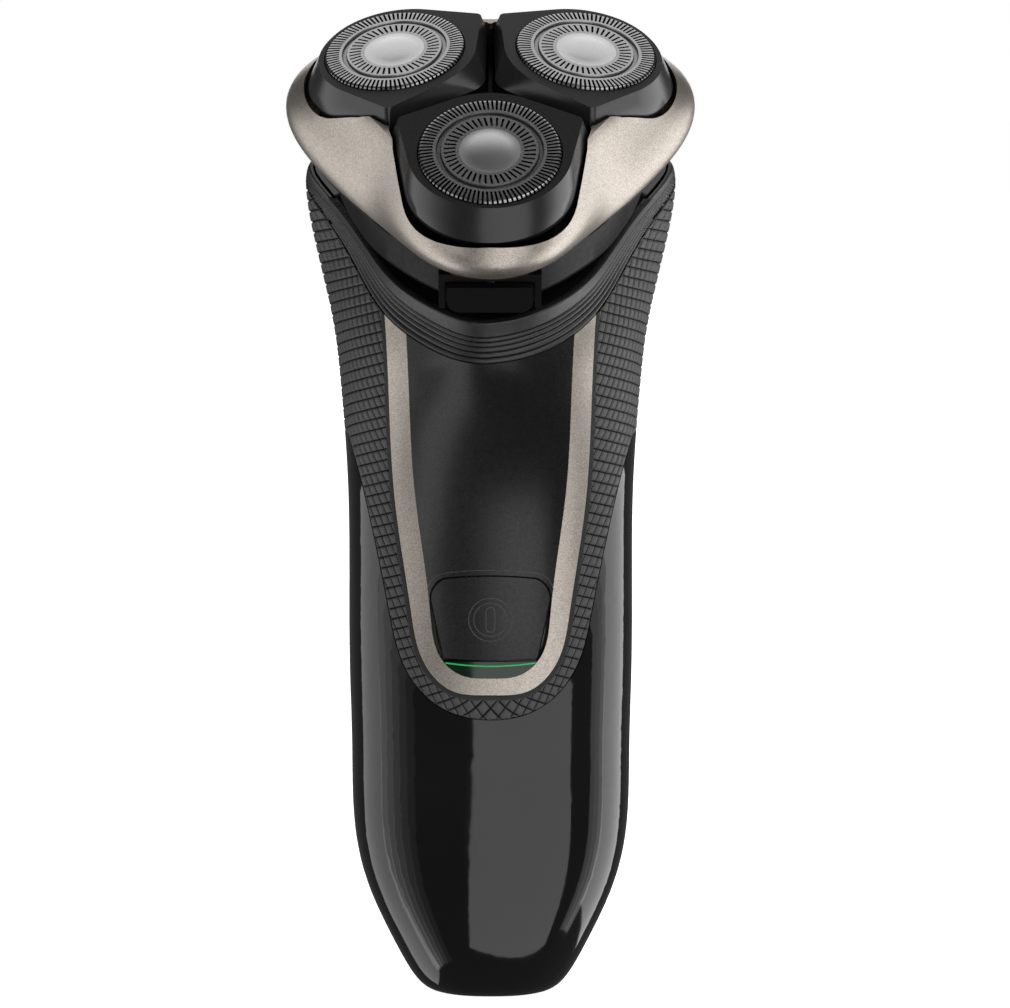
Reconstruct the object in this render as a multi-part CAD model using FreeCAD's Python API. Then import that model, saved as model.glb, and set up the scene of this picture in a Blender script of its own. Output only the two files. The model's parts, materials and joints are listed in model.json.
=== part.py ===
import FreeCAD, Part
import math
import os

# Rotary electric shaver, millimetres. Origin at the middle of the flat base, +Z up along the handle,
# the front (power button side) faces -Y. "Reach" means distance towards the front, so reach = -Y.
# Head frame: its z runs along the leaning head axis and its origin lies on the plane of the guards.
# Pod frame: its z runs along one guard's axis and its origin lies on that guard's rim plane.

# ---- driving dimensions -------------------------------------------------------------------------
HEAD_LEAN = 33.5
HEAD_REACH = 20.0
HEAD_HEIGHT = 159.6
POD_NAMES = ("front", "right", "left")
POD_COUNT = len(POD_NAMES)
POD_RADIUS = 18.76
POD_LEAN = 8.0

# handle skin, one row per level: height of the level on the handle's axis, reach of that axis,
# lean of the level, half width, front extent, back extent, and how far the outline has turned
# from the handle's oval (0) into the three-cornered mouth (1)
SKIN_LEVELS = [
    (0.0, 0.0, 0.0, 10.4, 9.6, 8.6, 0.0),
    (0.9, 0.0, 0.0, 12.2, 11.3, 10.4, 0.0),
    (4.2, 0.0, 0.0, 14.8, 13.8, 13.2, 0.0),
    (8.5, 0.0, 0.0, 17.1, 15.7, 15.4, 0.0),
    (15.2, 0.0, 0.0, 20.3, 17.6, 18.0, 0.0),
    (22.5, 0.0, 0.0, 22.8, 18.8, 19.8, 0.0),
    (30.0, 0.0, 0.0, 24.0, 19.5, 20.8, 0.0),
    (50.0, 0.0, 0.0, 24.5, 20.1, 21.8, 0.0),
    (76.0, 0.0, 0.0, 24.7, 20.0, 22.0, 0.0),
    (92.0, 0.0, 3.0, 25.1, 20.2, 22.0, 0.03),
    (104.0, 0.0, 9.0, 26.3, 22.1, 22.2, 0.12),
    (114.0, 0.0, 18.0, 28.2, 24.9, 22.4, 0.35),
    (124.0, 0.2, 26.0, 30.9, 27.3, 22.8, 0.68),
]
MOUTH_LEVEL = -28.2
SHOULDER_LEVEL = -33.0
SHOULDER_GROW = 0.8
# right half of the mouth's outline, front to back, in steps of one sixteenth of a turn
MOUTH_OUTLINE = [
    (0.0, 29.0),
    (9.5, 25.2),
    (16.8, 17.6),
    (21.6, 8.0),
    (26.2, -2.0),
    (30.7, -10.6),
    (30.2, -17.4),
    (18.5, -21.4),
    (0.0, -21.5),
]
MOUTH_HALF_WIDTH = 30.7
OVAL_POWER = 2.4
SKIN_STEPS = 16

SKIN = 1.2
WALL = 1.4
PARTING_Y = 2.0
FAR = 90.0

COLLAR_LEAN = 38.0
COLLAR_FRONT_REACH = 25.0
COLLAR_FRONT_HEIGHT = 113.8

# right halves of the curves on the front and back, top to bottom: half width, height
GRIP_CURVE = [(24.6, 98.5), (20.9, 85.4), (17.6, 69.7), (14.3, 58.7), (8.0, 52.6), (0.0, 50.9)]
TRIM_OUTER_CURVE = [
    (18.8, 128.0),
    (17.4, 110.0),
    (16.4, 89.0),
    (13.6, 69.4),
    (11.2, 60.4),
    (6.6, 56.0),
    (0.0, 55.3),
]
TRIM_INNER_CURVE = [
    (15.2, 128.0),
    (13.9, 110.0),
    (13.0, 91.0),
    (10.3, 69.4),
    (8.2, 61.2),
    (4.6, 58.6),
    (0.0, 58.2),
]
BACK_GRIP_CURVE = [(24.6, 98.5), (21.0, 80.0), (16.5, 58.0), (9.0, 46.8), (0.0, 44.5)]

BUTTON_BOTTOM = 61.4
BUTTON_SHOULDER = 71.5
BUTTON_TOP = 75.8
BUTTON_SIDE_GAP = 0.3
BUTTON_STEM_R = 2.0
LENS_TOP = 61.1
PANEL_GAP = 0.25

BATTERY_R = 7.0
BATTERY_REACH = -4.0
BATTERY_LOW = 34.0
BATTERY_HIGH = 84.0
BOARD_REACH = 8.0
BOARD_T = 1.6
BOARD_HALF = 11.0
BOARD_LOW = 22.0
BOARD_HIGH = 94.0
# middle across, low edge, width, height and thickness of each part on the board
BOARD_CHIPS = [
    (-6.0, 80.0, 6.0, 5.0, 1.0),
    (4.0, 84.0, 4.0, 4.0, 0.8),
    (-5.0, 44.0, 5.0, 7.0, 1.2),
    (5.0, 36.0, 6.0, 3.0, 2.0),
    (6.0, 50.0, 3.0, 5.0, 0.9),
]
SWITCH_HEIGHT = 68.4
LAMP_HEIGHT = 59.7
SCREW_SPOTS = [(-14.0, 64.0), (14.0, 64.0), (-15.5, 92.0), (15.5, 92.0)]

SOCKET_Y = 4.3
SOCKET_HALF_LONG = 4.5
SOCKET_HALF_SHORT = 2.5
SOCKET_DEPTH = 9.0
SOCKET_WALL = 0.7
SOCKET_PIN_R = 0.8
SOCKET_PIN_X = 2.0

PIVOT_LEVEL = -26.0
GIMBAL_PIN_R = 1.0
RUNNING_GAP = 0.06
MOTOR_R = 9.0
MOTOR_TOP = -33.5
MOTOR_BOTTOM = -53.0
SHAFT_R = 0.75

# three-lobed outlines of the head, as radii: front lobe, side valleys, rear lobes, rear valley
SHELL_LEVELS = [
    (-17.0, (30.6, 25.0, 34.4, 25.0)),
    (-15.6, (32.8, 25.2, 36.6, 25.2)),
    (-13.0, (35.3, 25.0, 38.2, 25.0)),
    (-8.0, (34.2, 23.6, 35.4, 23.6)),
    (-4.0, (31.0, 22.1, 31.9, 22.1)),
    (-1.4, (28.2, 20.8, 28.8, 20.8)),
]
LOBE_SHARPNESS = 0.3
TREFOIL_STEPS = 36
SHELL_WALL = 1.3
SADDLE_INNER_R = 19.6
BASE_RIM = (30.0, 24.5, 33.7, 24.5)
BASE_FLANGE = (28.8, 23.3, 32.5, 23.3)
BASE_BOWL = (28.3, 24.3, 28.3, 24.3)
BASE_BOWL_EDGE = (26.9, 23.5, 26.9, 23.5)
BASE_BOWL_FLOOR = (21.6, 20.4, 21.6, 20.4)
FRAME_PLATE = (26.0, 22.0, 26.0, 22.0)
RETAINER_PLATE = (24.4, 20.4, 24.4, 20.4)
HINGE_REACH = -28.2
HINGE_LEVEL = -15.0
HINGE_PIN_R = 1.0

GEAR_MODULE = 0.6
SUN_TEETH = 30
SPINDLE_TEETH = 30
PRESSURE_ANGLE = 25.0
BACKLASH = 0.14
GEAR_LOW = -16.2
GEAR_HIGH = -13.2
SPINDLE_RADIUS = GEAR_MODULE * (SUN_TEETH + SPINDLE_TEETH) / 2.0
HUB_R = 3.2
HUB_TOP = -8.8
HUB_BORE = 3.2
SPINDLE_SQUARE = 3.1
FLOOR_TOP = -16.6
FLOOR_BOTTOM = -18.6
COVER_LOW = -12.2
COVER_HIGH = -11.5
# radii of the round pockets and walls about each spindle and about the sun gear
GEAR_POCKET = (9.95, 9.95)
GEAR_HOUSING = (10.8, 11.2)
GEARBOX_SCREW_RADIUS = 12.6
GEARBOX_BOSS_R = 1.9

COUPLING_DEPTH = (POD_RADIUS - SPINDLE_RADIUS) / math.sin(math.radians(POD_LEAN))
POD_TOP_CORNERS = [(0.0, -15.5), (15.6, -8.1), (11.4, 12.84), (-11.4, 12.84), (-15.6, -8.1)]
POD_SIDE_CORNER_R = 1.2
POD_FRONT_CORNER_R = 13.5
# depth below the guard's rim plane, growth of the inner, side and front edges there, how far the
# inner vertex moves towards the middle of the head, and the radius that rounds that vertex
POD_LEVELS = [
    (0.0, 0.0, 0.0, 0.0, 0.0, 14.0),
    (-3.0, 0.5, 0.9, 1.6, 1.5, 4.0),
    (-5.2, 0.1, 1.0, 2.9, 0.8, 6.0),
    (-7.2, -0.5, 0.8, 1.6, 0.0, 8.0),
]
POD_SHELL_GAP = 0.6
POD_PIN_R = 1.0

GUARD_R = 12.0
GUARD_TOP = 0.5
GUARD_SHEET = 0.5
OUTER_TRACK = (9.5, 12.0)
INNER_TRACK = (5.7, 7.7)
GROOVE = (8.1, 9.0)
CAP_R = 5.15
OUTER_SLOTS = 90
INNER_SLOTS = 45
SLOT_WIDTH = 0.38
BLADE_COUNT = 15


# ---- small helpers ------------------------------------------------------------------------------
def vec(x, y, z):
    return FreeCAD.Vector(x, y, z)


X_AXIS = vec(1, 0, 0)
Y_AXIS = vec(0, 1, 0)
Z_AXIS = vec(0, 0, 1)
ORIGIN = vec(0, 0, 0)


def box(x0, x1, y0, y1, z0, z1):
    return Part.makeBox(x1 - x0, y1 - y0, z1 - z0, vec(x0, y0, z0))


def cylinder(radius, z0, z1, x=0.0, y=0.0):
    return Part.makeCylinder(radius, z1 - z0, vec(x, y, z0), Z_AXIS)


def cylinder_along(radius, start, end):
    direction = end.sub(start)
    return Part.makeCylinder(radius, direction.Length, start, direction)


def tube(outer, inner, z0, z1, x=0.0, y=0.0):
    return cylinder(outer, z0, z1, x, y).cut(cylinder(inner, z0 - 1, z1 + 1, x, y))


def turned(shape, point, axis, degrees):
    result = shape.copy()
    result.rotate(point, axis, degrees)
    return result


def moved(shape, offset):
    result = shape.copy()
    result.translate(offset)
    return result


def fused(shapes):
    return shapes[0].multiFuse(shapes[1:]).removeSplitter()


def one_solid(shape):
    solids = sorted(shape.Solids, key=lambda solid: solid.Volume)
    return solids[-1]


def in_head(shape):
    leaned = turned(shape, ORIGIN, X_AXIS, HEAD_LEAN)
    return moved(leaned, vec(0, -HEAD_REACH, HEAD_HEIGHT))


def in_pod(shape, index):
    leaned = turned(shape, ORIGIN, X_AXIS, POD_LEAN)
    placed = moved(leaned, vec(0, -POD_RADIUS, 0))
    return turned(placed, ORIGIN, Z_AXIS, 360.0 / POD_COUNT * index)


def round_the_head(shape, index):
    return turned(shape, ORIGIN, Z_AXIS, 360.0 / POD_COUNT * index)


def square_prism(width, z0, z1):
    half = width / 2.0
    return box(-half, half, -half, half, z0, z1)


def coil(radius, wire_r, z0, z1, turns):
    height = z1 - z0 - 2 * wire_r
    helix = Part.makeHelix(height / turns, height, radius)
    section = Part.Wire(Part.makeCircle(wire_r, vec(radius, 0, 0), Y_AXIS))
    spring = Part.Wire(helix.Edges).makePipeShell([section], True, True)
    return moved(spring, vec(0, 0, z0 + wire_r))


# ---- outlines -----------------------------------------------------------------------------------
def closed_curve(points):
    curve = Part.BSplineCurve()
    count = len(points)
    curve.interpolate(Points=points, PeriodicFlag=True, Parameters=[i / count for i in range(count + 1)])
    return Part.Wire(curve.toShape())


def signed_power(value, power):
    return math.copysign(abs(value) ** power, value)


def oval_point(step, half_width, front, back):
    angle = 2 * math.pi * step / SKIN_STEPS
    across = half_width * signed_power(math.sin(angle), 2 / OVAL_POWER)
    ahead = signed_power(math.cos(angle), 2 / OVAL_POWER)
    return across, ahead * (front if ahead > 0 else back)


def mouth_point(step, grow):
    half = SKIN_STEPS // 2
    across, ahead = MOUTH_OUTLINE[step if step <= half else SKIN_STEPS - step]
    side = 1 if step <= half else -1
    distance = math.hypot(across, ahead)
    factor = (distance + grow) / distance
    return side * across * factor, ahead * factor


def inset_outline(points, distance):
    count = len(points)
    result = []
    for i in range(count):
        before = points[i - 1]
        after = points[(i + 1) % count]
        dx, dy = after[0] - before[0], after[1] - before[1]
        length = math.hypot(dx, dy)
        result.append((points[i][0] + distance * dy / length, points[i][1] - distance * dx / length))
    return result


def skin_wire(level, inset):
    height, reach, lean, half_width, front, back, turn = level
    points = []
    for step in range(SKIN_STEPS):
        oval = oval_point(step, half_width, front, back)
        mouth = mouth_point(step, 0.0)
        scale = half_width / MOUTH_HALF_WIDTH
        across = oval[0] + turn * (mouth[0] * scale - oval[0])
        ahead = oval[1] + turn * (mouth[1] * scale - oval[1])
        points.append((across, ahead))
    return level_wire(inset_outline(points, inset), reach, height, lean)


def level_wire(points, reach, height, lean):
    wire = closed_curve([vec(across, -ahead, 0) for across, ahead in points])
    return moved(turned(wire, ORIGIN, X_AXIS, lean), vec(0, -reach, height))


def head_level_wire(level, grow, inset):
    points = [mouth_point(step, grow) for step in range(SKIN_STEPS)]
    lean = math.radians(HEAD_LEAN)
    reach = HEAD_REACH + level * math.sin(lean)
    height = HEAD_HEIGHT + level * math.cos(lean)
    return level_wire(inset_outline(points, inset), reach, height, HEAD_LEAN)


def skin(inset):
    wires = [skin_wire(level, inset) for level in SKIN_LEVELS]
    wires.append(head_level_wire(SHOULDER_LEVEL, SHOULDER_GROW, inset))
    wires.append(head_level_wire(MOUTH_LEVEL, 0.0, inset))
    solid = Part.makeLoft(wires, True, False)
    if inset > 0:
        solid = solid.cut(box(-FAR, FAR, -FAR, FAR, -1, inset))
    return solid


def face_curve_prism(curve, front, widen=False):
    right = [vec(across, 0, height) for across, height in curve]
    left = [vec(-across, 0, height) for across, height in reversed(curve[:-1])]
    spline = Part.BSplineCurve()
    spline.interpolate(right + left)
    start, end = right[0], left[-1]
    side = FAR if widen else start.x
    corners = [vec(side, 0, 2 * FAR), vec(-side, 0, 2 * FAR)]
    if widen:
        corners = [vec(side, 0, start.z)] + corners + [vec(-side, 0, end.z)]
    lines = Part.makePolygon([start] + corners + [end])
    face = Part.Face(Part.Wire(lines.Edges + [spline.toShape()]))
    return face.extrude(vec(0, -FAR if front else FAR, 0))


def trefoil_wire(level, radii, inset=0.0):
    front, side, lobe, rear = radii
    mean = ((front + rear) / 2 + side + lobe) / 3 - LOBE_SHARPNESS
    once = (front - rear + side - lobe) / 3
    twice = (front + rear) / 2 - mean - LOBE_SHARPNESS
    thrice = (front - rear) / 2 - once
    points = []
    for step in range(TREFOIL_STEPS):
        angle = 2 * math.pi * step / TREFOIL_STEPS
        radius = mean + once * math.cos(angle) + twice * math.cos(2 * angle) - inset
        radius += thrice * math.cos(3 * angle) + LOBE_SHARPNESS * math.cos(6 * angle)
        points.append(vec(radius * math.sin(angle), -radius * math.cos(angle), level))
    return closed_curve(points)


def trefoil_plate(radii, low, high, inset=0.0):
    return Part.Face(trefoil_wire(low, radii, inset)).extrude(vec(0, 0, high - low))


def rounded_polygon(corners, radii, z):
    count = len(corners)
    edges = []
    joints = []
    for i in range(count):
        corner = vec(*corners[i], z)
        back = vec(*corners[i - 1], z).sub(corner).normalize()
        ahead = vec(*corners[(i + 1) % count], z).sub(corner).normalize()
        half = back.getAngle(ahead) / 2
        reach = radii[i] / math.tan(half)
        middle = back.add(ahead).normalize()
        start = corner.add(vec(back.x, back.y, 0).multiply(reach))
        end = corner.add(vec(ahead.x, ahead.y, 0).multiply(reach))
        top = corner.add(middle.multiply(radii[i] / math.sin(half) - radii[i]))
        joints.append((start, top, end))
    for i in range(count):
        start, top, end = joints[i]
        edges.append(Part.Arc(start, top, end).toShape())
        edges.append(Part.LineSegment(end, joints[(i + 1) % count][0]).toShape())
    return Part.Wire(edges)


def grown_polygon(corners, grows):
    count = len(corners)
    lines = []
    for i in range(count):
        x0, y0 = corners[i]
        x1, y1 = corners[(i + 1) % count]
        length = math.hypot(x1 - x0, y1 - y0)
        nx, ny = (y1 - y0) / length, -(x1 - x0) / length
        lines.append((nx, ny, nx * x0 + ny * y0 + grows[i]))
    result = []
    for i in range(count):
        a0, b0, c0 = lines[i - 1]
        a1, b1, c1 = lines[i]
        det = a0 * b1 - a1 * b0
        result.append(((c0 * b1 - c1 * b0) / det, (a0 * c1 - a1 * c0) / det))
    return result


def pod_wire(level, gap=0.0, z=None):
    depth, inner, side, front, vertex, vertex_radius = level
    grows = [inner + gap, side + gap, front + gap, side + gap, inner + gap]
    corners = [(x, -y) for x, y in grown_polygon(POD_TOP_CORNERS, grows)]
    corners[0] = (0.0, corners[0][1] + vertex)
    front_radius = POD_FRONT_CORNER_R + 0.22 * front
    radii = [vertex_radius, POD_SIDE_CORNER_R, front_radius, front_radius, POD_SIDE_CORNER_R]
    return rounded_polygon(corners, radii, depth if z is None else z)


# ---- handle -------------------------------------------------------------------------------------
def collar_half_space(above):
    block = box(-FAR, FAR, -FAR, FAR, 0, FAR) if above else box(-FAR, FAR, -FAR, FAR, -2 * FAR, 0)
    leaned = turned(block, ORIGIN, X_AXIS, COLLAR_LEAN)
    return moved(leaned, vec(0, -COLLAR_FRONT_REACH, COLLAR_FRONT_HEIGHT))


def front_half():
    return box(-FAR, FAR, -FAR, PARTING_Y, -5, 2 * FAR)


def back_half():
    return box(-FAR, FAR, PARTING_Y, FAR, -5, 2 * FAR)


def stadium(half_long, half_short, z0, z1, y):
    middle = half_long - half_short
    block = box(-middle, middle, y - half_short, y + half_short, z0, z1)
    left = cylinder(half_short, z0, z1, -middle, y)
    right = cylinder(half_short, z0, z1, middle, y)
    return fused([block, left, right])


def button_prism(grow):
    half_top = 10.4 - BUTTON_SIDE_GAP + grow
    half_low = 8.3 - BUTTON_SIDE_GAP + grow
    low = BUTTON_BOTTOM - grow
    high = BUTTON_TOP + grow
    lower_left = vec(-half_low, 0, low + 0.3)
    lower_right = vec(half_low, 0, low + 0.3)
    left = vec(-half_top, 0, BUTTON_SHOULDER)
    right = vec(half_top, 0, BUTTON_SHOULDER)
    top_left = vec(-half_top + 2.4, 0, high - 0.5)
    top_right = vec(half_top - 2.4, 0, high - 0.5)
    corner_left = vec(-half_top + 0.75, 0, high - 1.7)
    corner_right = vec(half_top - 0.75, 0, high - 1.7)
    edges = [
        Part.Arc(lower_left, vec(0, 0, low), lower_right).toShape(),
        Part.LineSegment(lower_right, right).toShape(),
        Part.Arc(right, corner_right, top_right).toShape(),
        Part.Arc(top_right, vec(0, 0, high), top_left).toShape(),
        Part.Arc(top_left, corner_left, left).toShape(),
        Part.LineSegment(left, lower_left).toShape(),
    ]
    return Part.Face(Part.Wire(edges)).extrude(vec(0, -FAR, 0))


def lens_window(gap):
    return box(-2.5 - gap, 2.5 + gap, -FAR, 0, 58.9 - gap, 60.5 + gap)


def socket_cut():
    grow = SOCKET_WALL + 0.05
    return stadium(SOCKET_HALF_LONG + grow, SOCKET_HALF_SHORT + grow, -1, SOCKET_DEPTH + 2, SOCKET_Y)


def screw_boss(x, height, y0, y1, radius):
    return cylinder_along(radius, vec(x, y0, height), vec(x, y1, height))


def build_handle(parts):
    outside = skin(0)
    under = skin(SKIN)
    inside = skin(SKIN + WALL)
    outer = outside.cut(under)
    below = collar_half_space(False)
    upper = outer.common(below)
    grip_front = face_curve_prism(GRIP_CURVE, True, widen=True)
    grip_back = face_curve_prism(BACK_GRIP_CURVE, False, widen=True)
    trim_outer = face_curve_prism(TRIM_OUTER_CURVE, True)
    trim_inner = face_curve_prism(TRIM_INNER_CURVE, True)

    parts["ribbed_collar"] = outer.common(collar_half_space(True))
    grip = upper.common(grip_front.fuse(grip_back)).cut(trim_outer)
    parts["grip_overmould"] = one_solid(grip)
    parts["trim_band"] = one_solid(upper.common(trim_outer).cut(trim_inner))

    panel_area = upper.common(trim_inner)
    above_button = button_prism(PANEL_GAP).fuse(box(-FAR, FAR, -FAR, 0, 0, BUTTON_SHOULDER))
    parts["front_panel"] = one_solid(panel_area.cut(above_button))
    lens_skin = panel_area.common(box(-FAR, FAR, -FAR, 0, 0, LENS_TOP)).cut(button_prism(PANEL_GAP))
    lens_pipe = lens_window(0).common(box(-FAR, FAR, -FAR, -BOARD_REACH - 4.0, 0, FAR)).common(under)
    parts["indicator_lens"] = one_solid(lens_skin.fuse(lens_pipe))
    button = outer.common(button_prism(0))
    stem_end = -BOARD_REACH - 5.4
    stem = cylinder_along(BUTTON_STEM_R, vec(0, -FAR, SWITCH_HEIGHT), vec(0, stem_end, SWITCH_HEIGHT))
    parts["power_button"] = one_solid(button.fuse(stem.common(under)))

    above = collar_half_space(True)
    cladding = skin(-1.0).cut(under)
    clad = cladding.common(grip_front.fuse(grip_back).fuse(above))
    hollow = inside
    for x, z in SCREW_SPOTS:
        hollow = hollow.cut(screw_boss(x, z, -30, 30, 2.5))
    front = outside.common(front_half()).cut(clad).cut(hollow)
    rear = outside.common(back_half()).cut(clad).cut(hollow)
    front = front.cut(button_prism(PANEL_GAP)).cut(lens_window(0.1))
    screws = []
    for x, z in SCREW_SPOTS:
        front = front.cut(screw_boss(x, z, -8, 6, 1.0))
        rear = rear.cut(screw_boss(x, z, 0, 30, 1.15)).cut(screw_boss(x, z, 8, 30, 2.1))
        shank = screw_boss(x, z, -7, 8, 0.97)
        screws.append(shank.fuse(screw_boss(x, z, 8, 9.4, 1.9)))
    parts["case_screws"] = Part.Compound(screws)
    parts["front_shell"] = one_solid(front.cut(socket_cut()))
    parts["rear_shell"] = one_solid(rear.cut(socket_cut()))

    seal_zone = box(-11.5, 11.5, -FAR, 0, LENS_TOP + 0.2, BUTTON_TOP + 1.5)
    membrane = inside.cut(skin(SKIN + WALL + 0.6)).common(seal_zone)
    parts["button_seal"] = membrane.cut(screw_boss(0, SWITCH_HEIGHT, -FAR, 0, BUTTON_STEM_R + 0.1))

    slab = in_head(box(-FAR, FAR, -FAR, FAR, -33.2, -31.2))
    plate = skin(SKIN + WALL + 0.1).common(slab)
    parts["neck_bracket"] = build_neck_bracket(plate)


def build_neck_bracket(plate):
    sleeve = tube(MOTOR_R + 1.4, MOTOR_R + 0.05, -41, -33.2)
    pieces = [plate, in_head(sleeve)]
    for side in (-1, 1):
        post = box(15.8, 17.6, -2.0, 2.0, -31.2, PIVOT_LEVEL)
        eye = cylinder_along(2.0, vec(15.8, 0, PIVOT_LEVEL), vec(17.6, 0, PIVOT_LEVEL))
        ear = turned(post.fuse(eye), ORIGIN, Z_AXIS, 0 if side > 0 else 180)
        pieces.append(in_head(ear))
    bracket = fused(pieces)
    bore = cylinder_along(GIMBAL_PIN_R + RUNNING_GAP, vec(-20, 0, PIVOT_LEVEL), vec(20, 0, PIVOT_LEVEL))
    return one_solid(bracket.cut(in_head(bore)).cut(in_head(cylinder(3.0, -34, -30))))


def build_insides(parts):
    half = BOARD_HALF
    plate_y = -BOARD_REACH + 1.0
    plate = box(-half, half, plate_y, plate_y + 1.5, 16, 98)
    pieces = [plate]
    for z in (24.0, 58.0, 92.0):
        for x in (-half + 1.5, half - 1.5):
            pieces.append(screw_boss(x, z, -BOARD_REACH, plate_y, 1.3))
    battery_y = -BATTERY_REACH
    for z in (40.0, 76.0):
        cradle = box(-half, half, plate_y + 1.5, battery_y, z, z + 3)
        pieces.append(cradle.cut(cylinder(BATTERY_R + 0.05, z - 1, z + 4, 0, battery_y)))
    for z in (BATTERY_LOW - 2.6, BATTERY_HIGH + 1.0):
        pieces.append(box(-6, 6, plate_y + 1.5, battery_y + 3, z, z + 1.6))
    parts["chassis"] = fused(pieces)

    body = cylinder(BATTERY_R, BATTERY_LOW, BATTERY_HIGH - 1.2, 0, battery_y)
    shoulder = Part.makeCone(BATTERY_R, BATTERY_R - 0.8, 0.5, vec(0, battery_y, BATTERY_HIGH - 1.2), Z_AXIS)
    nub = cylinder(2.6, BATTERY_HIGH - 0.7, BATTERY_HIGH, 0, battery_y)
    parts["battery_cell"] = fused([body, shoulder, nub])

    tabs = []
    for z0, z1 in ((BATTERY_LOW - 0.5, BATTERY_LOW), (BATTERY_HIGH, BATTERY_HIGH + 0.5)):
        tabs.append(box(-2, 2, plate_y + 1.7, battery_y + 2.5, z0, z1))
    parts["battery_tabs"] = Part.Compound(tabs)

    board_y = -BOARD_REACH - BOARD_T
    board = box(-half, half, board_y, -BOARD_REACH, BOARD_LOW, BOARD_HIGH)
    blocks = []
    for x, z, width, height, thickness in BOARD_CHIPS:
        blocks.append(box(x - width / 2, x + width / 2, board_y - thickness, board_y, z, z + height))
    parts["circuit_board"] = fused([board] + blocks)
    switch = box(-3, 3, board_y - 2.0, board_y, SWITCH_HEIGHT - 3, SWITCH_HEIGHT + 3)
    plunger = screw_boss(0, SWITCH_HEIGHT, board_y - 2.9, board_y - 2.0, 1.6)
    parts["power_switch"] = switch.fuse(plunger)
    lamp = box(-1.6, 1.6, board_y - 0.7, board_y, LAMP_HEIGHT - 1, LAMP_HEIGHT + 1)
    dome = box(-1.1, 1.1, board_y - 1.4, board_y - 0.7, LAMP_HEIGHT - 0.7, LAMP_HEIGHT + 0.7)
    parts["indicator_led"] = lamp.fuse(dome)


def build_socket(parts):
    outer_long = SOCKET_HALF_LONG + SOCKET_WALL
    outer_short = SOCKET_HALF_SHORT + SOCKET_WALL
    body = stadium(outer_long, outer_short, 0.2, SOCKET_DEPTH + 1.2, SOCKET_Y)
    hollow = stadium(SOCKET_HALF_LONG, SOCKET_HALF_SHORT, -1, SOCKET_DEPTH, SOCKET_Y)
    holes = [cylinder(SOCKET_PIN_R, 0, 20, x, SOCKET_Y) for x in (-SOCKET_PIN_X, SOCKET_PIN_X)]
    parts["charging_socket"] = body.cut(hollow).cut(holes[0]).cut(holes[1])
    pins = []
    for x in (-SOCKET_PIN_X, SOCKET_PIN_X):
        shaft = cylinder(SOCKET_PIN_R, 5.8, SOCKET_DEPTH + 4, x, SOCKET_Y)
        tip = Part.makeCone(SOCKET_PIN_R - 0.35, SOCKET_PIN_R, 0.5, vec(x, SOCKET_Y, 5.3), Z_AXIS)
        pins.append(shaft.fuse(tip))
    parts["charging_pins"] = Part.Compound(pins)
    seal = stadium(outer_long + 1.6, outer_short + 1.6, SOCKET_DEPTH + 1.2, SOCKET_DEPTH + 2.0, SOCKET_Y)
    for x in (-SOCKET_PIN_X, SOCKET_PIN_X):
        seal = seal.cut(cylinder(SOCKET_PIN_R, 0, 20, x, SOCKET_Y))
    parts["socket_seal"] = seal


# ---- drive --------------------------------------------------------------------------------------
def build_motor(parts):
    can = cylinder(MOTOR_R, MOTOR_BOTTOM, MOTOR_TOP)
    hollow = cylinder(MOTOR_R - 0.9, MOTOR_BOTTOM + 1.5, MOTOR_TOP - 1.2)
    can = can.cut(hollow).cut(cylinder(SHAFT_R + 0.05, MOTOR_BOTTOM + 0.4, MOTOR_TOP + 1))
    parts["motor_can"] = in_head(can)
    rotor = cylinder(6.4, MOTOR_BOTTOM + 3, MOTOR_TOP - 3)
    for i in range(5):
        slot = turned(box(3.0, 7.0, -0.6, 0.6, MOTOR_BOTTOM, MOTOR_TOP), ORIGIN, Z_AXIS, 72.0 * i)
        rotor = rotor.cut(slot)
    shaft = cylinder(SHAFT_R, MOTOR_BOTTOM + 0.6, PIVOT_LEVEL)
    parts["motor_armature"] = in_head(rotor.fuse(shaft))
    neck = cylinder(1.3, -29.4, PIVOT_LEVEL)
    head = square_prism(3.2, PIVOT_LEVEL - 0.8, PIVOT_LEVEL + 0.8)
    coupler = neck.fuse(head).cut(cylinder(SHAFT_R, -30, PIVOT_LEVEL))
    parts["drive_coupler"] = in_head(coupler)


def involute(angle):
    return math.tan(angle) - angle


def gear_blank(teeth, z0, z1, first_angle):
    pitch_r = GEAR_MODULE * teeth / 2
    base_r = pitch_r * math.cos(math.radians(PRESSURE_ANGLE))
    root_r = pitch_r - 1.25 * GEAR_MODULE
    tip_r = pitch_r + 0.92 * GEAR_MODULE
    half_pitch = math.pi / (2 * teeth) - BACKLASH / (4 * pitch_r)
    low_r = max(base_r, root_r)
    flank = []
    for i in range(6):
        radius = low_r + (tip_r - low_r) * i / 5
        pressure = math.acos(min(1.0, base_r / radius))
        half = half_pitch + involute(math.radians(PRESSURE_ANGLE)) - involute(pressure)
        flank.append((radius, half))
    points = []
    for tooth in range(teeth):
        middle = math.radians(first_angle) + 2 * math.pi * tooth / teeth
        ring = [(root_r, -flank[0][1])] + [(r, -a) for r, a in flank]
        ring += [(r, a) for r, a in reversed(flank)] + [(root_r, flank[0][1])]
        for radius, offset in ring:
            angle = middle + offset
            points.append(vec(radius * math.cos(angle), radius * math.sin(angle), z0))
    if root_r >= base_r:
        points = [p for i, p in enumerate(points) if i % 14 not in (0, 13)]
    points.append(points[0])
    return Part.Face(Part.makePolygon(points)).extrude(vec(0, 0, z1 - z0))


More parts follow.
